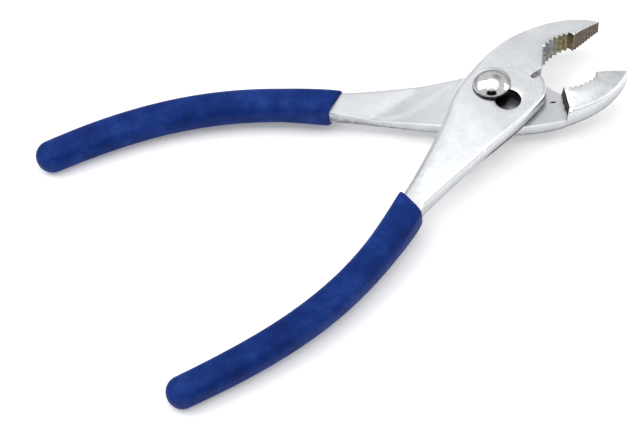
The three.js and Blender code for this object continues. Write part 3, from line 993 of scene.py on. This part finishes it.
def shifted(tree, value, other, amount):
    """The value plus the other, centred on a half, times an amount."""
    offset = tree.nodes.new("ShaderNodeMath")
    offset.operation = "SUBTRACT"
    link(tree, value, offset.inputs[0])
    offset.inputs[1].default_value = amount / 2
    node = tree.nodes.new("ShaderNodeMath")
    node.operation = "MULTIPLY_ADD"
    link(tree, other, node.inputs[0])
    node.inputs[1].default_value = amount
    link(tree, offset.outputs[0], node.inputs[2])
    return node.outputs[0]


def plated_steel():
    """Satin nickel plating over a tumbled forging, darkened towards black where the vertices say so:
    by an oily film, and as painted shade.
    """
    m, tree, p = nodes_of("satin_nickel")
    p.inputs["Metallic"].default_value = 1.0
    shade_and_oil_here = shifted(tree, attribute(tree, "oil_and_painted_shade"), noise(tree, 600, 3, 0.6), 0.12)
    # The vertices' mark turns the plating near black: partly an oily film, mostly painted shade in
    # corners, gaps, holes and on walls.
    darkening = ramp(tree, shade_and_oil_here, [(0.05, 0.0), (0.5, 0.14), (0.82, 0.35), (0.95, 0.97)])
    clean = mottled(tree, 140, 5, 0.6, [(0.3, (0.70, 0.72, 0.755)), (0.7, (0.775, 0.79, 0.81))])
    link(tree, mixed(tree, darkening, clean, (0.016, 0.014, 0.012)), p.inputs["Base Color"])
    satin = mottled(tree, 420, 4, 0.6, [(0.3, 0.22), (0.7, 0.34)])
    link(tree, mixed(tree, darkening, satin, 0.6), p.inputs["Roughness"])
    tumbled, grain = noise(tree, 200, 4, 0.55), noise(tree, 1500, 3, 0.5)
    bump(tree, p, [(tumbled, 0.16, 0.0004), (grain, 0.08, 0.0001)])
    return m


def tooth_steel():
    """Cut teeth: grey at the throat, brassy in the middle, brown at the nose."""
    m, tree, p = nodes_of("cut_steel")
    p.inputs["Metallic"].default_value = 1.0
    place = shifted(tree, attribute(tree, "along_jaw"), noise(tree, 350, 3, 0.6), 0.15)
    throat = [(0.0, (0.36, 0.37, 0.40)), (0.25, (0.37, 0.365, 0.375))]
    brass = [(0.38, (0.40, 0.36, 0.23)), (0.5, (0.40, 0.34, 0.20))]
    nose = [(0.58, (0.14, 0.11, 0.092)), (1.0, (0.15, 0.123, 0.112))]
    colours = ramp(tree, place, throat + brass + nose)
    patches = mottled(tree, 700, 4, 0.6, [(0.42, 0.0), (0.68, 0.7)])
    link(tree, mixed(tree, patches, colours, (0.06, 0.05, 0.045)), p.inputs["Base Color"])
    link(tree, mottled(tree, 700, 3, 0.6, [(0.3, 0.34), (0.7, 0.5)]), p.inputs["Roughness"])
    bump(tree, p, [(noise(tree, 900, 3, 0.5), 0.35, 0.0002)])
    return m


def painted_shade_steel():
    """Oily near-black steel: painted shade in holes and corners and on the bolt head's side and
    underside.
    """
    m, tree, p = nodes_of("oily_painted_shade")
    p.inputs["Metallic"].default_value = 0.4
    stops = [(0.35, (0.006, 0.006, 0.006)), (0.7, (0.030, 0.027, 0.024))]
    link(tree, mottled(tree, 300, 4, 0.6, stops), p.inputs["Base Color"])
    link(tree, mottled(tree, 500, 3, 0.6, [(0.3, 0.45), (0.7, 0.65)]), p.inputs["Roughness"])
    return m


def polished_steel():
    """The bolt and nut: smoother plating."""
    m, tree, p = nodes_of("polished_nickel")
    p.inputs["Metallic"].default_value = 1.0
    stops = [(0.3, (0.48, 0.49, 0.50)), (0.7, (0.58, 0.59, 0.60))]
    link(tree, mottled(tree, 300, 4, 0.5, stops), p.inputs["Base Color"])
    link(tree, mottled(tree, 600, 3, 0.6, [(0.3, 0.05), (0.7, 0.09)]), p.inputs["Roughness"])
    bump(tree, p, [(noise(tree, 250, 3, 0.5), 0.14, 0.0003)])
    return m


def vinyl():
    """Dipped vinyl: deep blue, matte, slightly uneven."""
    m, tree, p = nodes_of("dipped_vinyl")
    deep, middle, pale = (0.002, 0.011, 0.092), (0.003, 0.022, 0.146), (0.014, 0.042, 0.215)
    stops = [(0.28, deep), (0.5, middle), (0.72, pale)]
    link(tree, mottled(tree, 110, 6, 0.7, stops), p.inputs["Base Color"])
    link(tree, mottled(tree, 500, 3, 0.6, [(0.3, 0.40), (0.7, 0.58)]), p.inputs["Roughness"])
    p.inputs["Specular IOR Level"].default_value = 0.07
    p.inputs["Sheen Weight"].default_value = 0.05
    p.inputs["Sheen Roughness"].default_value = 0.35
    waves, grain = noise(tree, 45, 3, 0.5), noise(tree, 900, 3, 0.6)
    bump(tree, p, [(waves, 0.25, 0.0012), (grain, 0.3, 0.0002)])
    return m


def paper():
    """A white floor that glows a little: painted light that lifts the shadows on it."""
    m, tree, p = nodes_of("white_floor")
    link(tree, mottled(tree, 8, 2, 0.5, [(0.3, 0.90), (0.7, 0.93)]), p.inputs["Base Color"])
    p.inputs["Roughness"].default_value = 0.8
    p.inputs["Specular IOR Level"].default_value = 0.1
    p.inputs["Emission Color"].default_value = (1, 1, 1, 1)
    p.inputs["Emission Strength"].default_value = FLOOR_GLOW
    return m


# -------- the pieces

STEEL, TEETH, PAINTED_SHADE = plated_steel(), tooth_steel(), painted_shade_steel()
POLISHED, VINYL = polished_steel(), vinyl()

slotted, plain = HALVES["slotted"], HALVES["plain"]
slip_in_slotted = SLIP_STEP * np.array(
    [math.cos(SLIP_ANGLE - slotted["angle"]), math.sin(SLIP_ANGLE - slotted["angle"])]
)
slip_in_plain = slip_in_slotted * (-1, 1)
slotted_blank = Blank(slotted, plain, keyhole(slotted), slip_in_slotted)
plain_blank = Blank(plain, slotted, pivot_hole(plain), slip_in_plain)

slotted_half = forging("slotted_half_forged", slotted_blank, [STEEL, TEETH, PAINTED_SHADE])
plain_half = forging("plain_half_forged", plain_blank, [STEEL, TEETH, PAINTED_SHADE])
pivot_bolt, pivot_nut = bolt([POLISHED, PAINTED_SHADE]), nut([POLISHED])
slotted_grip = grip("grip_slotted_half_dipped", slotted, [VINYL])
plain_grip = grip("grip_plain_half_dipped", plain, [VINYL])

pieces = [
    (slotted_half, "slotted", "slotted_half", "steel"),
    (plain_half, "plain", "plain_half", "steel"),
    (pivot_bolt, "pivot", "pivot_bolt", "bolt_steel"),
    (pivot_nut, "pivot", "pivot_nut", "bolt_steel"),
    (slotted_grip, "slotted", "grip_slotted_half", "vinyl"),
    (plain_grip, "plain", "grip_plain_half", "vinyl"),
]
for piece, body, node, slot in pieces:
    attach(piece, body)
    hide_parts(node)


# -------- stage, lights and camera


def floor(touching):
    """A plane under the bolt's end that tips up until it touches the pieces behind the joint."""
    slope = min(
        vertex.co.z / -vertex.co.x
        for piece in touching
        for vertex in piece.data.vertices
        if vertex.co.x < BEHIND_JOINT
    )
    corners = FLOOR_REACH * np.array([(-1, -1), (1, -1), (1, 1), (-1, 1)])
    mesh = bpy.data.meshes.new("floor")
    mesh.from_pydata([(x, y, -slope * x - FLOOR_DROP) for x, y in corners], [], [(0, 1, 2, 3)])
    obj = bpy.data.objects.new("floor", mesh)
    bpy.context.scene.collection.objects.link(obj)
    mesh.materials.append(paper())


def area_light(name, location, target, size, power, shape="SQUARE"):
    """A soft light that faces a target. Places and sizes are in metres, and power is in watts."""
    data = bpy.data.lights.new(name, "AREA")
    data.shape = shape
    data.size = size
    data.energy = power
    obj = bpy.data.objects.new(name, data)
    obj.location = location
    direction = Vector(target) - Vector(location)
    obj.rotation_mode = "QUATERNION"
    obj.rotation_quaternion = direction.to_track_quat("-Z", "Y")
    bpy.context.scene.collection.objects.link(obj)


def multiplied(tree, a, b):
    """The product of two colours."""
    node = tree.nodes.new("ShaderNodeMix")
    node.data_type = "RGBA"
    node.blend_type = "MULTIPLY"
    node.inputs["Factor"].default_value = 1.0
    link(tree, a, node.inputs[6])
    link(tree, b, node.inputs[7])
    return node.outputs[2]


def studio():
    """Soft white surroundings, darker towards the horizon and on two sides."""
    world = bpy.data.worlds.new("studio")
    world.use_nodes = True
    tree = world.node_tree
    direction = tree.nodes.new("ShaderNodeTexCoord").outputs["Generated"]
    parts = tree.nodes.new("ShaderNodeSeparateXYZ")
    link(tree, direction, parts.inputs[0])
    colour = ramp(tree, parts.outputs["Z"], HORIZON)
    for side, stops in ((CAMERA_SIDE, CAMERA_SHADE), (DIM_SIDE, DIM_SHADE)):
        toward = tree.nodes.new("ShaderNodeVectorMath")
        toward.operation = "DOT_PRODUCT"
        link(tree, direction, toward.inputs[0])
        toward.inputs[1].default_value = Vector(side).normalized()
        colour = multiplied(tree, colour, ramp(tree, toward.outputs["Value"], stops))
    background = tree.nodes["Background"]
    link(tree, colour, background.inputs["Color"])
    background.inputs["Strength"].default_value = 1.0
    bpy.context.scene.world = world


def camera():
    """The photo's view."""
    data = bpy.data.cameras.new("camera")
    obj = bpy.data.objects.new("camera", data)
    bpy.context.scene.collection.objects.link(obj)
    place = Vector(CAMERA_AT) * MM
    view = (Vector(LOOKS_AT) * MM - place).to_track_quat("-Z", "Y").to_matrix()
    rolled = view @ Matrix.Rotation(CAMERA_ROLL, 3, "Z")
    obj.matrix_world = Matrix.Translation(place) @ rolled.to_4x4()
    data.sensor_width = CAMERA_SENSOR
    data.lens = CAMERA_LENS
    data.clip_start, data.clip_end = 0.01, 20
    bpy.context.scene.camera = obj


floor([slotted_grip, plain_grip])
studio()
area_light("key", (-0.65, 0.55, 0.95), target=(-0.05, 0, 0), size=0.8, power=5.5)
area_light("overhead", (0, 0, 1.0), target=(0, 0, 0), size=1.15, power=2.8, shape="DISK")
area_light("right", (0.88, -0.40, 0.44), target=(0, 0, 0), size=0.5, power=1.3)
camera()
bpy.context.scene.view_settings.view_transform = "Standard"
